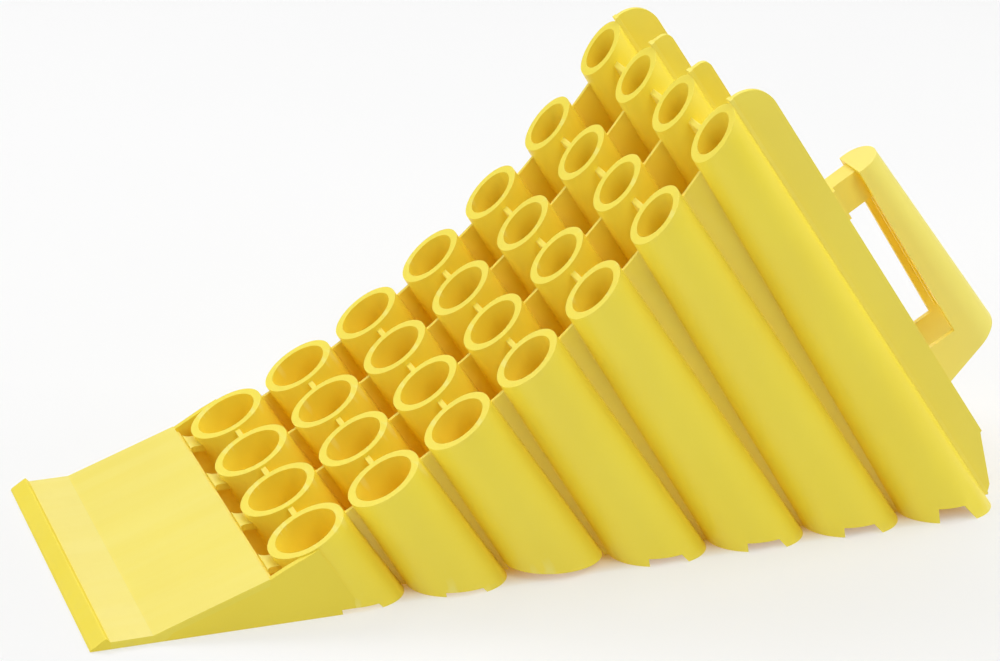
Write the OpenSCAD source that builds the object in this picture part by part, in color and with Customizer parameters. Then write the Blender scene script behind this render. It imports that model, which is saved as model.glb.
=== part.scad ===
/* [Tube grid] */
// Distance between tube rows, front to rear, measured on the ground
row_pitch = 48.3; // [46:0.1:50]
// Distance between tube columns, side to side
column_pitch = 47; // [46:0.5:49]
// Lean of every tube axis from the vertical, towards the tyre, in degrees
tube_lean = 31.7; // [30:0.1:33]
// Outside radius of a tube on its axis at ground level
tube_foot_r = 19.7; // [19:0.1:20.2]
// Draft of the tubes: radius lost for every millimetre of length
tube_draft = 0.0266; // [0.02:0.0002:0.03]
// Wall thickness of the tubes
tube_wall = 3.85; // [3:0.05:4.5]

/* [Tyre arc] */
// Radius of the concave tyre surface that cuts the tube rims
tyre_r = 510; // [500:1:520]
// How far the centre of the tyre arc lies in front of the first row's foot
arc_back = 249.5; // [247:0.5:252]
// Height of the centre of the tyre arc over the ground
arc_up = 489.1; // [487:0.1:491]

/* [Webs] */
// Thickness of the webs that run front to rear between the tubes
long_web_t = 2; // [1.5:0.1:3]
// Thickness of the short webs that run side to side between the tubes
cross_web_t = 2.6; // [1.8:0.1:3.2]
// Height of the lower edge of the webs over the ground
web_lift = 1; // [0.5:0.1:3]

/* [Tongue] */
// Front edge of the tongue ahead of the first row's foot
nose_reach = 122.3; // [118:0.1:126]
// Rear edge of the tongue ahead of the first row's foot
tongue_back = 42.2; // [41.5:0.1:43]
// Height of the tongue's rear edge
tongue_high = 22; // [20:0.1:23]
// Thickness of the tongue plate
plate_t = 3.2; // [2.6:0.1:3.4]
// Outside width of the tongue and the skirts
tongue_w = 180; // [178:0.5:181]
// Thickness of the side skirts
skirt_t = 3; // [2.4:0.1:4]
// Width of the flat tabs that join the tongue to the first tubes
tab_w = 12.4; // [10:0.2:15]
// Height of the top of the tabs
tab_top = 21.4; // [20:0.1:22]
// Thickness of the tabs
tab_t = 3; // [2:0.1:4]
// Corner radius at the root of the tabs
tab_r = 3; // [1:0.5:4]

/* [Rear fins] */
// Thickness of the rear fins
fin_t = 2.6; // [2:0.1:3.5]
// Height of the fin tops, measured along the tube axis
fin_top = 240; // [238:0.5:242]
// Depth of the two outer fins behind the tube axis, at the top
outer_fin_u = 30.9; // [28:0.1:34]
// Depth of the two inner fins behind the tube axis, at the top
inner_fin_u = 23.7; // [20:0.1:26]
// Corner radius of the outer fins
outer_fin_r = 14.5; // [10:0.5:16]
// Corner radius of the inner fins
inner_fin_r = 4.5; // [3:0.5:6]

/* [Handle] */
// Radius of the grip's round spine at the top
grip_top_r = 11.4; // [10:0.1:12.5]
// Radius of the grip's round spine at the bottom
grip_foot_r = 14.6; // [13.5:0.1:16]
// Front edge of the grip behind the tube axis of the last row
grip_front_u = 59.8; // [58:0.1:62]
// Top of the grip, measured along the tube axis
grip_top_s = 138.5; // [136:0.5:142]
// Wall thickness of the grip
grip_wall = 2.6; // [2:0.1:3.2]
// Upper edge of the lower arm, measured along the tube axis
gap_low_s = 38.5; // [36:0.5:44]
// Lower edge of the upper arm, measured along the tube axis
gap_high_s = 120.5; // [118:0.5:124]
// Width of the upper arm
arm_w = 11.4; // [8:0.2:12]
// Top of the upper arm, measured along the tube axis
arm_top_s = 136.9; // [136:0.1:138]

/* [Hidden] */

yellow = [0.93, 0.86, 0.25];
deep_yellow = [0.90, 0.76, 0.10];
rows = 7;
cols = 4;
fine = 64;
arc_fn = 360;
far_h = 260;

// Sine and cosine of the lean, used to change between ground and tube axes
sl = sin(tube_lean);
cl = cos(tube_lean);
last_x = (rows - 1) * row_pitch;

// A point given as u (behind the last row's axis) and s (along that axis)
function on_axis(u, s) = [last_x + u * cl - s * sl, u * sl + s * cl];
// Foot of row i on the ground
function row_x(i) = (i - 1) * row_pitch;
// Side position of column c, counted 1 to 4 from the far side
function col_y(c) = ((cols + 1) / 2 - c) * column_pitch;
// Length from foot to rim on the axis of row i: where the axis meets the tyre arc
function rim_s(i) =
    let (px = -arc_back - row_x(i))
    let (b = -px * -sl * -1 + arc_up * cl)
    let (m = px * -sl + arc_up * cl)
    let (q = px * px + arc_up * arc_up - tyre_r * tyre_r)
    m - sqrt(m * m - q);
// Drop of the web tops under the tyre surface
function long_drop(i) = 2.7 + 0.5 * (i - 1);
function cross_drop(i) = 1.2 + 0.65 * (i - 1);
// Depth of the grip notch in the foot of row i
function notch_d(i) = i == 3 ? 4.1 : i < 3 ? 2.2 : i == 7 ? 7.7 : 4.1 + 0.5 * (i - 4);

// Thickness of the wall behind the tongue's rear edge
ledge_t = 2;
// Width and step of the thicker strip at the root of each fin
strip_w = 1.9;
strip_t = 0.9;
// The grip's spine leans back a little more than the tubes
spine_top_u = 62.8;
spine_foot_u = 68.1;
spine_foot_s = 34;
corner_r = 6;
rear_corner = on_axis(spine_foot_u + grip_foot_r - corner_r + 0.3, 31.5);
// The origin is on the ground, midway between the nose and the grip
rear_x = rear_corner[0] + corner_r;
mid_x = (rear_x - nose_reach) / 2;

module centred() {
    translate([-mid_x, 0, 0]) children();
}

// Moves children into the axes of row i: X behind the axis, Z along it
module lean(i) {
    translate([row_x(i), 0, 0]) rotate([0, -tube_lean, 0]) children();
}

// A plate in the X-Z plane from a list of points, centred on y
module side_plate(points, y, t) {
    translate([0, y + t / 2, 0]) rotate([90, 0, 0]) linear_extrude(height = t) polygon(points);
}

// The tyre surface, made larger by grow so that it cuts lower
module tyre(grow = 0) {
    translate([-arc_back, 0, arc_up]) rotate([90, 0, 0])
        cylinder(h = 240, r = tyre_r + grow, center = true, $fn = arc_fn);
}

module below_ground(lift = 0) {
    translate([-400, -150, -100 + lift]) cube([900, 300, 100]);
}

// Outside of one tube, longer than needed at both ends
module tube_outside(i, c) {
    lean(i) translate([0, col_y(c), -20])
        cylinder(h = far_h + 20, r1 = tube_foot_r + 20 * tube_draft,
            r2 = tube_foot_r - far_h * tube_draft, $fn = fine);
}

module tube_bore(i, c) {
    lean(i) translate([0, col_y(c), -30])
        cylinder(h = far_h + 40, r1 = tube_foot_r - tube_wall + 30 * tube_draft,
            r2 = tube_foot_r - tube_wall - (far_h + 10) * tube_draft, $fn = fine);
}

// Notch across the foot of a row: nearly upright in front, sloping behind
module foot_notch(i) {
    d = notch_d(i);
    x = row_x(i);
    if (i == 3) {
        below_ground(d);
    } else {
        side_plate([[x - 9.7, -5], [x - 9.7, 0], [x - 9.7 - 0.2 * d, d], [x + 9 - 0.9 * d, d],
            [x + 9, 0], [x + 9, -5]], 0, 220);
    }
}

module tube(i, c) {
    color(yellow) centred() difference() {
        tube_outside(i, c);
        tube_bore(i, c);
        tyre();
        below_ground();
        foot_notch(i);
    }
}

// Everything that a web is cut back to
module tubes_solid(c, from, to) {
    for (i = [from:to]) tube_outside(i, c);
}

// Front to rear webs of one column, one under the tab and one between each two
// rows of tubes, cut to the tube outsides
module long_webs(c) {
    color(yellow) centred() {
        for (i = [1:rows - 1]) {
            difference() {
                translate([row_x(i) - 0.5 * row_pitch - rim_s(i) * sl, col_y(c) - long_web_t / 2, web_lift])
                    cube([rim_s(i) * sl + 1.9 * row_pitch, long_web_t, far_h]);
                tyre(long_drop(i));
                tube_outside(i, c);
                tube_outside(i + 1, c);
                lean(i) translate([-400, -120, -100]) cube([400, 240, 500]);
                lean(i + 1) translate([0, -120, -100]) cube([400, 240, 500]);
            }
        }
        difference() {
            side_plate([[-tongue_back + ledge_t, web_lift], [-tongue_back + ledge_t, tab_top - tab_t],
                [0, tab_top - tab_t], [0, web_lift]], col_y(c), long_web_t);
            tube_outside(1, c);
            lean(1) translate([0, -120, -100]) cube([400, 240, 500]);
        }
    }
}

// Side to side webs of one row, on the plane of the tube axes
module cross_webs(i) {
    color(deep_yellow) centred() difference() {
        lean(i) translate([-cross_web_t / 2, -1.5 * column_pitch, -10])
            cube([cross_web_t, 3 * column_pitch, far_h]);
        for (c = [1:cols]) tube_outside(i, c);
        tyre(cross_drop(i) * 0.85);
        below_ground(max(web_lift, notch_d(i)));
    }
}

module nose_lip() {
    color(yellow) centred()
        side_plate([[-nose_reach, 0], [-nose_reach + 0.6, 0.9], [-115.6, 4.9], [-114.9, 5.1],
            [-113.3, 3.3], [-113.3, 0]], 0, tongue_w);
}

module tongue_plate() {
    color(yellow) centred()
        side_plate([[-113.3, 0], [-113.3, 3.3], [-94.5, 3.4], [-tongue_back, tongue_high],
            [-tongue_back, tongue_high - plate_t], [-94.5 + 9, 3.4], [-94.5 + 5, 0]], 0, tongue_w);
}

// Low step behind the tongue's rear edge
module tongue_ledge() {
    color(deep_yellow) centred()
        side_plate([[-tongue_back, web_lift], [-tongue_back, tongue_high - 1.8],
            [-tongue_back + ledge_t, tongue_high - 1.8], [-tongue_back + ledge_t, web_lift]],
            0, tongue_w - 2 * skirt_t);
}

// Flat tab from the ledge to the first tube of column c, with rounded roots
module tab(c) {
    color(yellow) centred() difference() {
        translate([-tongue_back + ledge_t, col_y(c), tab_top - tab_t]) linear_extrude(height = tab_t)
            difference() {
                union() {
                    translate([0, -tab_w / 2]) square([20, tab_w]);
                    translate([0, -tab_w / 2 - tab_r]) square([tab_r, tab_w + 2 * tab_r]);
                }
                for (side = [-1, 1])
                    translate([tab_r, side * (tab_w / 2 + tab_r)]) circle(r = tab_r, $fn = 32);
            }
        tube_outside(1, c);
        lean(1) translate([0, -120, -100]) cube([400, 240, 500]);
    }
}

// Triangular side wall from the tongue to the first tube
module skirt(side) {
    lift = side > 0 ? 0.8 : 0;
    difference() {
        side_plate([[-94.5 + 5, 0], [-94.5 + 9, 3.4], [-tongue_back, tongue_high - plate_t],
            [-tongue_back, tongue_high - 0.4], [-20.6, 33.2 + lift], [10, 33.2 + lift], [10, 0]],
            side * (tongue_w / 2 - skirt_t / 2), skirt_t);
        tube_outside(1, side > 0 ? 1 : cols);
        tyre(0.8 - lift);
        lean(1) translate([0, -120, -100]) cube([400, 240, 500]);
        foot_notch(1);
    }
}

module skirt_near() {
    color(yellow) centred() skirt(-1);
}

module skirt_far() {
    color(yellow) centred() skirt(1);
}

// Outline of a rear fin in the axes of the last row: u behind, s along
module fin_outline(depth, r, low) {
    drop = fin_top - r;
    foot = depth + 0.0175 * (drop - low);
    polygon([[0, -60], [0, fin_top], [depth - r, fin_top], [depth, drop], [foot, low], [foot, -60]]);
    translate([depth - r, drop]) circle(r = r, $fn = 48);
}

module fin_blank(depth, r, low, y, t) {
    lean(rows) translate([0, y + t / 2, 0]) rotate([90, 0, 0])
        linear_extrude(height = t) fin_outline(depth, r, low);
}

// Fin c: the outer two are deep and end in a steep foot, the inner two are
// shallow; a narrow thicker strip runs along the root of each
module fin(c) {
    outer = c == 1 || c == cols;
    depth = outer ? outer_fin_u : inner_fin_u;
    r = outer ? outer_fin_r : inner_fin_r;
    x = last_x;
    color(yellow) centred() difference() {
        union() {
            fin_blank(depth, r, 22, col_y(c), fin_t);
            intersection() {
                fin_blank(inner_fin_u - 1.2, inner_fin_r, 22, col_y(c), fin_t + 2 * strip_t);
                lean(rows) translate([0, col_y(c), -20])
                    cylinder(h = far_h + 20, r1 = tube_foot_r + strip_w + 20 * tube_draft,
                        r2 = tube_foot_r + strip_w - far_h * tube_draft, $fn = fine);
            }
        }
        tube_outside(rows, c);
        lean(rows) translate([-100, -120, -100]) cube([100, 240, 500]);
        if (outer) {
            below_ground(3.5);
            side_plate([[x + 17.3, 35.6], [x + 23.7, 8.4], [x + 22.3, 2.2], [x + 20, -10],
                [x + 120, -10], [x + 120, 36.9], [x + 18.2, 36.9]], col_y(c), 10);
        } else {
            below_ground(8.5);
            side_plate([[x + 13, 36], [x + 19.4, 8], [x + 17, 1], [x + 15, -10], [x + 120, -10],
                [x + 120, 36]], col_y(c), 10);
        }
    }
}

// Grip body before it is hollowed; inset thins it on every side
module grip_body(inset, front) {
    low = 4;
    hull() {
        lean(rows) translate([spine_top_u, 0, grip_top_s - 1 - inset])
            cylinder(h = 1, r = grip_top_r - inset, $fn = 48);
        lean(rows) translate([spine_foot_u, 0, low])
            cylinder(h = 1, r = grip_foot_r + 0.8 - inset, $fn = 48);
        lean(rows) translate([front, -grip_top_r + inset, grip_top_s - 1 - inset])
            cube([1, 2 * (grip_top_r - inset), 1]);
        lean(rows) translate([front, -grip_foot_r - 0.8 + inset, low])
            cube([1, 2 * (grip_foot_r + 0.8 - inset), 1]);
    }
}

// Side outline of the grip and the lower arm's cheeks, rounded at the heel
module grip_outline() {
    top_f = on_axis(grip_front_u - 0.01, grip_top_s + 5);
    top_r = on_axis(100, grip_top_s + 5);
    heel = rear_corner;
    arm_u = on_axis(grip_front_u - 0.01, gap_low_s);
    arm_uf = on_axis(8, gap_low_s + 1);
    arm_lf = on_axis(8, 6.5);
    round_heel = [for (a = [9.5:-7.5:-43]) heel + corner_r * [cos(a), sin(a)]];
    polygon(concat([top_f, top_r, [heel[0] + 40, heel[1] + 20]], round_heel, [arm_lf, arm_uf, arm_u]));
}

module grip_side(t) {
    translate([0, t / 2, 0]) rotate([90, 0, 0]) linear_extrude(height = t) grip_outline();
}

// Grip with its round spine and top cap, open in front and below, and the
// two cheeks of the lower arm that reach the last tubes
module handle_grip() {
    color(yellow) centred() difference() {
        intersection() {
            grip_body(0, 8);
            grip_side(60);
        }
        grip_body(grip_wall, -6);
        tube_outside(rows, 2);
        tube_outside(rows, 3);
    }
}

// Thin rib on the middle plane inside the grip
module handle_rib() {
    color(deep_yellow) centred() intersection() {
        lean(rows) translate([grip_front_u + 1.2, -0.7, 48]) cube([30, 1.4, gap_high_s - 50]);
        grip_body(grip_wall, grip_front_u - 8);
    }
}

// Upper arm from its root to the grip and on under the grip's cap
module upper_arm() {
    color(yellow) centred() {
        lean(rows) translate([46, -arm_w / 2 + 0.6, gap_high_s])
            cube([grip_front_u - 46, arm_w, arm_top_s - gap_high_s]);
        intersection() {
            lean(rows) translate([grip_front_u, -arm_w / 2 + 0.6, gap_high_s])
                cube([30, arm_w, grip_top_s - grip_wall - gap_high_s]);
            grip_body(grip_wall, grip_front_u - 8);
        }
    }
}

// Root of the upper arm: it fills the space between the two middle tubes
module arm_root() {
    color(yellow) centred() difference() {
        lean(rows) translate([cross_web_t / 2, -9, gap_high_s - 1])
            cube([46 - cross_web_t / 2, 18, arm_top_s - gap_high_s + 1]);
        tube_outside(rows, 2);
        tube_outside(rows, 3);
        lean(rows) translate([42, 5, arm_top_s - 1.5]) cylinder(h = 10, r = 2.2, $fn = 32);
    }
}

tube(1, 1);  // tube_a1
tube(2, 1);  // tube_a2
tube(3, 1);  // tube_a3
tube(4, 1);  // tube_a4
tube(5, 1);  // tube_a5
tube(6, 1);  // tube_a6
tube(7, 1);  // tube_a7
tube(1, 2);  // tube_b1
tube(2, 2);  // tube_b2
tube(3, 2);  // tube_b3
tube(4, 2);  // tube_b4
tube(5, 2);  // tube_b5
tube(6, 2);  // tube_b6
tube(7, 2);  // tube_b7
tube(1, 3);  // tube_c1
tube(2, 3);  // tube_c2
tube(3, 3);  // tube_c3
tube(4, 3);  // tube_c4
tube(5, 3);  // tube_c5
tube(6, 3);  // tube_c6
tube(7, 3);  // tube_c7
tube(1, 4);  // tube_d1
tube(2, 4);  // tube_d2
tube(3, 4);  // tube_d3
tube(4, 4);  // tube_d4
tube(5, 4);  // tube_d5
tube(6, 4);  // tube_d6
tube(7, 4);  // tube_d7
long_webs(1);  // long_webs_a
long_webs(2);  // long_webs_b
long_webs(3);  // long_webs_c
long_webs(4);  // long_webs_d
cross_webs(1);  // cross_webs_1
cross_webs(2);  // cross_webs_2
cross_webs(3);  // cross_webs_3
cross_webs(4);  // cross_webs_4
cross_webs(5);  // cross_webs_5
cross_webs(6);  // cross_webs_6
cross_webs(7);  // cross_webs_7
nose_lip();
tongue_plate();
tongue_ledge();
tab(1);  // tab_a
tab(2);  // tab_b
tab(3);  // tab_c
tab(4);  // tab_d
skirt_near();
skirt_far();
fin(1);  // fin_a
fin(2);  // fin_b
fin(3);  // fin_c
fin(4);  // fin_d
handle_grip();
handle_rib();
upper_arm();
arm_root();
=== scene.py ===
"""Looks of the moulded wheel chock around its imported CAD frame.

Metres, CAD frame: +X runs rearward to the handle, +Y to the far side, +Z up, the ground is z = 0.
"""
import bpy
import math
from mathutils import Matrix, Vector

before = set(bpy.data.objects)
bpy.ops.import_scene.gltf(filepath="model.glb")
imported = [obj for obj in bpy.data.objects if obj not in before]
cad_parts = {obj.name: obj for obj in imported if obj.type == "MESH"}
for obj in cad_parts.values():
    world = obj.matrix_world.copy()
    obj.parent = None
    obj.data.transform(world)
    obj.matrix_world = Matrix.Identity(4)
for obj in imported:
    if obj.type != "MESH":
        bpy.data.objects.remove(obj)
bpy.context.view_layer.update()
MM = 0.001
# How much two points may differ and still be welded, in metres
WELD_DISTANCE = 0.00001

# ---------------------------------------------------------------- node helpers


class Tree:
    """A small helper that adds nodes to a material and links them."""

    def __init__(self, material):
        material.use_nodes = True
        self.tree = material.node_tree
        self.tree.nodes.clear()

    def add(self, kind, settings=None, **inputs):
        node = self.tree.nodes.new(kind)
        for key, value in (settings or {}).items():
            setattr(node, key, value)
        for key, value in inputs.items():
            socket = node.inputs[int(key[1:])] if key[0] == "i" and key[1:].isdigit() else node.inputs[key]
            self.put(socket, value)
        return node

    def put(self, socket, value):
        if hasattr(value, "is_output"):
            self.tree.links.new(value, socket)
        else:
            socket.default_value = value

    def math(self, operation, a, b=0.0, clamp=False):
        return self.add("ShaderNodeMath", {"operation": operation, "use_clamp": clamp}, i0=a, i1=b).outputs[0]

    def ramp(self, value, low, high, out_low, out_high):
        """Maps value from low..high to out_low..out_high, clamped."""
        node = self.add("ShaderNodeMapRange", {"clamp": True},
                        i0=value, i1=low, i2=high, i3=out_low, i4=out_high)
        return node.outputs[0]

    def noise(self, where, scale, detail=2.0, rough=0.5):
        node = self.add("ShaderNodeTexNoise", None, Vector=where, Scale=scale, Detail=detail, Roughness=rough)
        return node.outputs[0]

    def stretched(self, where, sx, sy, sz):
        node = self.add("ShaderNodeMapping", None, Vector=where)
        node.inputs["Scale"].default_value = (sx, sy, sz)
        return node.outputs[0]

    def blend(self, factor, a, b):
        node = self.add("ShaderNodeMix", {"data_type": "RGBA", "blend_type": "MIX"})
        self.put(node.inputs[0], factor)
        self.put(node.inputs[6], a)
        self.put(node.inputs[7], b)
        return node.outputs[2]


def rgba(r, g, b):
    return (r, g, b, 1.0)


BASE = (0.985, 0.808, 0.060)
STREAK_COLOUR = rgba(0.98, 0.87, 0.20)
SPECK_COLOUR = rgba(0.99, 0.89, 0.26)
# Colour of paler convex edges: a painted edge highlight, and partly wear
EDGE_HIGHLIGHT_COLOUR = rgba(0.99, 0.90, 0.26)
# Paler colour of up-facing tongue faces: painted top light, and partly tyre wear
RUBBED_AND_LIT_COLOUR = rgba(0.97, 0.88, 0.42)
SCUFF_COLOUR = rgba(0.80, 0.68, 0.20)
# Noise scales, per metre
CLOUD_SCALE = 14.0
SPECK_SCALE = 900.0
SCUFF_SCALE = (160.0, 90.0, 320.0)
MOTTLE_SCALE = 55.0
GRAIN_SCALE = 1500.0
WAVE_SCALE = 26.0
# Heights between which the scuffs from the ground fade out, in metres
SCUFF_HEIGHT = (0.001, 0.005)
# Where the flat strip behind the nose lip ends and the ramp begins, and half the width of the change
STRIP_END = -0.2057
STRIP_BLUR = 0.0003
PLASTIC_IOR = 1.49


def shade(gain, warm=0.0, sheen_pale=0.0):
    """The base plastic, a little lighter or darker, warmer where warm is above 0, whiter where sheen_pale is:
    a painted sheen.
    """
    blue = BASE[2] * gain * (1 - 2 * warm) + sheen_pale
    return rgba(min(BASE[0] * gain, 0.992), BASE[1] * gain * (1 - warm) + sheen_pale * 0.5, blue)


def plastic(name, gain=1.0, warm=0.0, rough=0.42, grain=0.10, flow=(6, 60, 6), flow_amount=0.03,
            sheen_pale=0.0, edge_wear_and_highlight=0.45, spec=0.38, top_light_and_tread=0.0):
    """Moulded polyolefin: fine matt grain, faint flow marks, scuffs near the ground, paler edges from a
    painted edge highlight and wear, paler up-facing tongue faces from painted top light and tyre wear.
    """
    material = bpy.data.materials.new(name)
    t = Tree(material)
    place = t.add("ShaderNodeTexCoord").outputs["Object"]
    edge = t.add("ShaderNodeNewGeometry").outputs["Pointiness"]
    spot = t.add("ShaderNodeSeparateXYZ", None, Vector=place)
    z = spot.outputs[2]

    cloud = t.noise(place, CLOUD_SCALE, 3.0, 0.55)
    streak = t.noise(t.stretched(place, *flow), 1.0, 3.0, 0.6)
    speck = t.noise(place, SPECK_SCALE, 2.0, 0.6)
    scuff = t.noise(t.stretched(place, *SCUFF_SCALE), 1.0, 4.0, 0.65)

    colour = t.blend(t.ramp(cloud, 0.3, 0.7, 0.0, 1.0), shade(gain * 0.985, warm + 0.012, sheen_pale),
                     shade(gain * 1.015, warm - 0.008, sheen_pale))
    colour = t.blend(t.ramp(streak, 0.35, 0.72, 0.0, flow_amount * 4), colour, STREAK_COLOUR)
    colour = t.blend(t.ramp(speck, 0.60, 0.80, 0.0, 0.10), colour, SPECK_COLOUR)
    # Up-facing tongue faces turn paler, most of all the flat strip behind the lip: painted top light, and
    # partly the paler rub of tyres rolling over it
    if top_light_and_tread:
        facing = t.add("ShaderNodeSeparateXYZ", None, Vector=t.add("ShaderNodeTexCoord").outputs["Normal"])
        top = t.ramp(facing.outputs[2], 0.6, 0.9, 0.0, 1.0)
        strip = t.ramp(spot.outputs[0], STRIP_END - STRIP_BLUR, STRIP_END + STRIP_BLUR, 1.0, 0.0)
        rubbed_and_lit = t.math("MULTIPLY", top, t.math("ADD", t.math("MULTIPLY", strip, top_light_and_tread), top_light_and_tread))
        colour = t.blend(rubbed_and_lit, colour, RUBBED_AND_LIT_COLOUR)
    # Convex edges turn paler: a painted edge highlight, and partly wear
    worn_and_highlit = t.ramp(edge, 0.52, 0.60, 0.0, edge_wear_and_highlight)
    colour = t.blend(worn_and_highlit, colour, EDGE_HIGHLIGHT_COLOUR)
    low = t.math("MULTIPLY", t.ramp(z, *SCUFF_HEIGHT, 1.0, 0.0), t.ramp(scuff, 0.54, 0.72, 0.0, 0.22))
    colour = t.blend(low, colour, SCUFF_COLOUR)

    mottled = t.ramp(t.noise(place, MOTTLE_SCALE, 3.0, 0.6), 0.3, 0.7, rough - 0.05, rough + 0.06)
    roughness = t.math("ADD", mottled, t.math("MULTIPLY", low, 0.5), clamp=True)

    fine = t.noise(place, GRAIN_SCALE, 2.0, 0.65)
    height = t.math("ADD", fine, t.math("MULTIPLY", speck, 0.6))
    bump = t.add("ShaderNodeBump", None, Strength=grain, Distance=0.0002, Height=height)
    wave = t.noise(place, WAVE_SCALE, 2.0, 0.5)
    waves = t.math("ADD", wave, t.math("MULTIPLY", streak, 0.5))
    broad = t.add("ShaderNodeBump", None, Strength=0.10, Distance=0.0016, Height=waves,
                  Normal=bump.outputs[0])

    shader = t.add("ShaderNodeBsdfPrincipled")
    t.put(shader.inputs["Base Color"], colour)
    t.put(shader.inputs["Roughness"], roughness)
    t.put(shader.inputs["Normal"], broad.outputs[0])
    shader.inputs["IOR"].default_value = PLASTIC_IOR
    shader.inputs["Specular IOR Level"].default_value = spec
    output = t.add("ShaderNodeOutputMaterial")
    t.tree.links.new(shader.outputs[0], output.inputs[0])
    return material


# Web, fin and handle get sheen_pale, a whiter colour that is a painted sheen
LOOKS = {
    "tube": plastic("tube_plastic", 1.0, grain=0.16),
    "web": plastic("web_plastic", 0.99, 0.02, rough=0.46, sheen_pale=0.015),
    # Skirt and tongue have no vertices between their edges, so the painted edge highlight and wear would
    # cover whole faces
    "skirt": plastic("skirt_plastic", 0.96, 0.01, rough=0.46, grain=0.14, edge_wear_and_highlight=0.0, spec=0.30),
    "tongue": plastic("tongue_plastic", 0.95, -0.015, rough=0.40, flow=(4, 55, 4), flow_amount=0.10,
                      edge_wear_and_highlight=0.0, top_light_and_tread=0.20),
    "fin": plastic("fin_plastic", 1.0, -0.01, rough=0.44, sheen_pale=0.025, spec=0.5),
    "handle": plastic("handle_plastic", 1.0, -0.01, rough=0.38, sheen_pale=0.03, spec=0.5),
}


def look_of(node):
    for start, look in (("tube_", "tube"), ("long_webs", "web"), ("cross_webs", "web"), ("fin_", "fin"),
                        ("skirt_", "skirt"), ("nose_lip", "skirt")):
        if node.startswith(start):
            return look
    if node.startswith(("handle_", "upper_arm", "arm_root")):
        return "handle"
    return "tongue"


# ------------------------------------------------------ CAD nodes: finish, edges

# Moulding radius of each look, in mm. Tongue and skirt keep their sharp CAD edges
ROUND = {"tube": 0.32, "web": 0.3, "fin": 0.4, "handle": 0.5}
BEVEL_SEGMENTS = 2
BEVEL_ANGLE = math.radians(38)
FACE_WEIGHT = 80
for name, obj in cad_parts.items():
    look = look_of(name)
    obj.data.materials.clear()
    obj.data.materials.append(LOOKS[look])
    if look not in ROUND:
        continue
    weld = obj.modifiers.new("weld", "WELD")
    weld.merge_threshold = WELD_DISTANCE
    bevel = obj.modifiers.new("round", "BEVEL")
    bevel.width = ROUND[look] * MM
    bevel.segments = BEVEL_SEGMENTS
    bevel.limit_method = "ANGLE"
    bevel.angle_limit = BEVEL_ANGLE
    bevel.use_clamp_overlap = True
    bevel.harden_normals = False
    flat = obj.modifiers.new("normals", "WEIGHTED_NORMAL")
    flat.mode = "FACE_AREA"
    flat.weight = FACE_WEIGHT
    flat.keep_sharp = False

# ------------------------------------------------------------ floor, camera, light

FLOOR_REACH = 9.0
FLOOR_DROP = 0.0002
PAPER = (rgba(0.44, 0.44, 0.44), rgba(0.46, 0.46, 0.46))
# Distances from the middle between which the painted shade on the floor under the object fades into open
# paper
UNDER_X = (0.178, 0.196)
UNDER_Y = (0.070, 0.087)
GLOW = 0.47
PAINTED_SHADE_GLOW = 0.55
BOUNCE_COLOUR = rgba(1.0, 0.56, 0.09)

floor_mesh = bpy.data.meshes.new("floor")
corners = [(x * FLOOR_REACH, y * FLOOR_REACH, 0) for x, y in ((-1, -1), (1, -1), (1, 1), (-1, 1))]
floor_mesh.from_pydata(corners, [], [(0, 1, 2, 3)])
floor = bpy.data.objects.new("floor", floor_mesh)
floor.location.z = -FLOOR_DROP
bpy.context.scene.collection.objects.link(floor)
floor_look = bpy.data.materials.new("floor_paper")
t = Tree(floor_look)
paper = t.noise(t.add("ShaderNodeTexCoord").outputs["Object"], 3.0, 2.0, 0.5)
floor_shader = t.add("ShaderNodeBsdfPrincipled")
t.put(floor_shader.inputs["Base Color"], t.blend(paper, *PAPER))
floor_shader.inputs["Roughness"].default_value = 0.9
# The paper glows like a light table. Under the object the glow is weaker and orange: a painted shade,
# and a painted bounce light in place of the light that the plastic sends back down
floor_place = t.add("ShaderNodeSeparateXYZ", None, Vector=t.add("ShaderNodeTexCoord").outputs["Object"])
under_x = t.ramp(t.math("ABSOLUTE", floor_place.outputs[0]), *UNDER_X, 0.0, 1.0)
under_y = t.ramp(t.math("ABSOLUTE", floor_place.outputs[1]), *UNDER_Y, 0.0, 1.0)
outside = t.math("MAXIMUM", under_x, under_y)
t.put(floor_shader.inputs["Emission Strength"],
      t.math("MULTIPLY", t.ramp(outside, 0.0, 1.0, PAINTED_SHADE_GLOW, 1.0), GLOW))
t.put(floor_shader.inputs["Emission Color"], t.blend(outside, BOUNCE_COLOUR, rgba(1, 1, 1)))
t.tree.links.new(floor_shader.outputs[0], t.add("ShaderNodeOutputMaterial").inputs[0])
floor_mesh.materials.append(floor_look)

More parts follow.
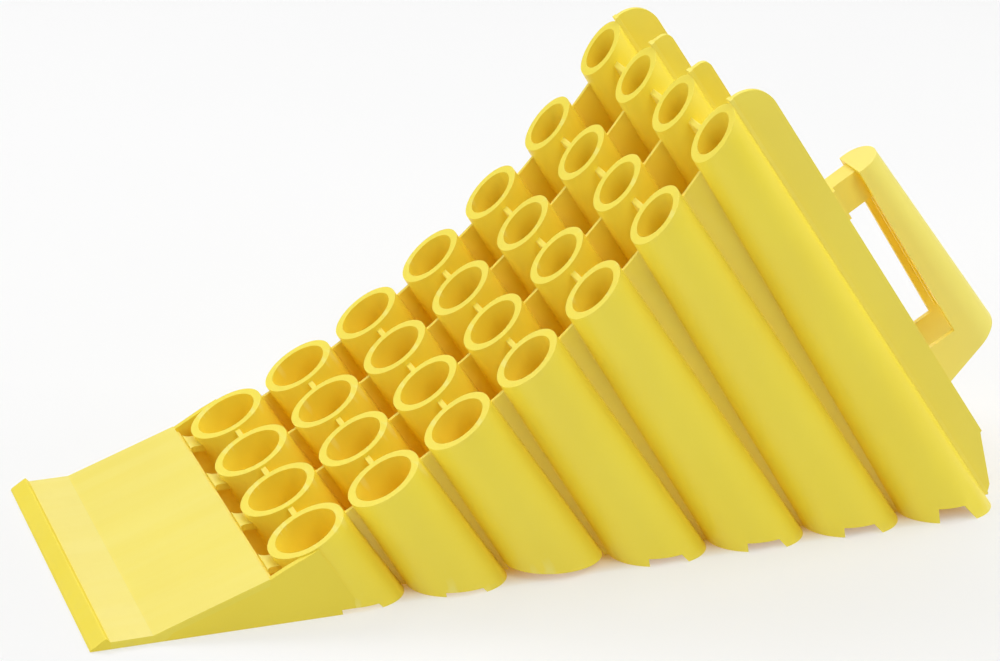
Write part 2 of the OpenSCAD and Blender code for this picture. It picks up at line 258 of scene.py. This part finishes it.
camera_data = bpy.data.cameras.new("camera")
camera = bpy.data.objects.new("camera", camera_data)
bpy.context.scene.collection.objects.link(camera)
camera.location = (-0.46563, -1.3146, 0.6258)
camera.rotation_euler = (math.radians(69.053), 0.0, math.radians(-18.904))
camera_data.sensor_width = 36.0
camera_data.lens = 115.88
camera_data.shift_x = -0.00453
camera_data.shift_y = -0.0135
camera_data.clip_end = 60.0
bpy.context.scene.camera = camera

WORLD = 0.07
world = bpy.data.worlds.new("studio")
bpy.context.scene.world = world
world.use_nodes = True
world.node_tree.nodes["Background"].inputs[0].default_value = rgba(1, 1, 1)
world.node_tree.nodes["Background"].inputs[1].default_value = WORLD

CENTRE = Vector((0.0, 0.0, 0.09))


def softbox(name, azimuth, elevation, distance, size, power):
    """A square soft light that faces the object. Azimuth 0 is the near side, -Y, and 90 is +X."""
    a, e = math.radians(azimuth), math.radians(elevation)
    away = Vector((math.sin(a) * math.cos(e), -math.cos(a) * math.cos(e), math.sin(e)))
    data = bpy.data.lights.new(name, "AREA")
    data.shape = "SQUARE"
    data.size = size
    data.energy = power
    light = bpy.data.objects.new(name, data)
    light.location = CENTRE + away * distance
    light.rotation_euler = away.to_track_quat("Z", "Y").to_euler()
    bpy.context.scene.collection.objects.link(light)


# Name, azimuth, elevation, distance, size, power
LIGHTS = (
    ("top", 0, 88, 2.2, 1.6, 11.0),
    ("front", 15, 50, 2.4, 1.0, 16.8),
    ("left_low", -80, 15, 2.4, 1.2, 13.7),
    ("right", 85, 35, 2.4, 1.4, 20.9),
    ("back", 180, 45, 2.4, 1.4, 11.7),
    ("back_left", -140, 40, 2.4, 1.2, 16.5),
    ("back_right", 140, 50, 2.4, 1.2, 5.0),
)
for row in LIGHTS:
    softbox(*row)

bpy.context.scene.view_settings.view_transform = "Standard"
bpy.context.scene.view_settings.look = "None"
bpy.context.scene.view_settings.exposure = 0.0
bpy.context.scene.view_settings.gamma = 1.0
# Light goes back and forth many times inside the deep yellow pockets
bpy.context.scene.cycles.max_bounces = 24
bpy.context.scene.cycles.diffuse_bounces = 16
